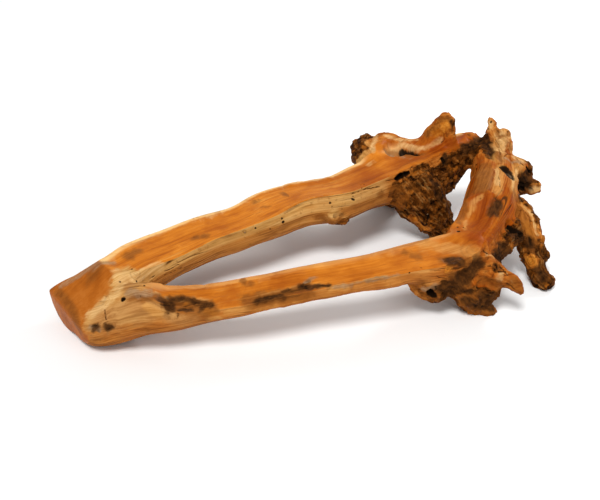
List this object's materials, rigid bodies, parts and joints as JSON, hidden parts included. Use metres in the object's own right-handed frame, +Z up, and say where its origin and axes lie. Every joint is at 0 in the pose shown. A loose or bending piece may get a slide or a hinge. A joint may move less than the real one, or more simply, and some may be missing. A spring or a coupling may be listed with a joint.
{
  "type": "forked log",
  "caption": "Forked hardwood log with two planed arms that rejoin in gnarled roots, lying on its trunk end and root feet as a display piece or sculptural base.",
  "frame": {"origin": "on the surface that the log lies on, in the middle of its bounding box", "axes": "+X from the hewn trunk end to the roots, +Y from the front arm to the rear arm, +Z up"},
  "size_m": [1.0173, 0.518, 0.2477],
  "materials": {
    "hardwood": "oiled, planed on top, natural at the sides and rough at the roots"
  },
  "bodies": {
    "root": {"forked_log": "hardwood"}
  },
  "joints": []
}
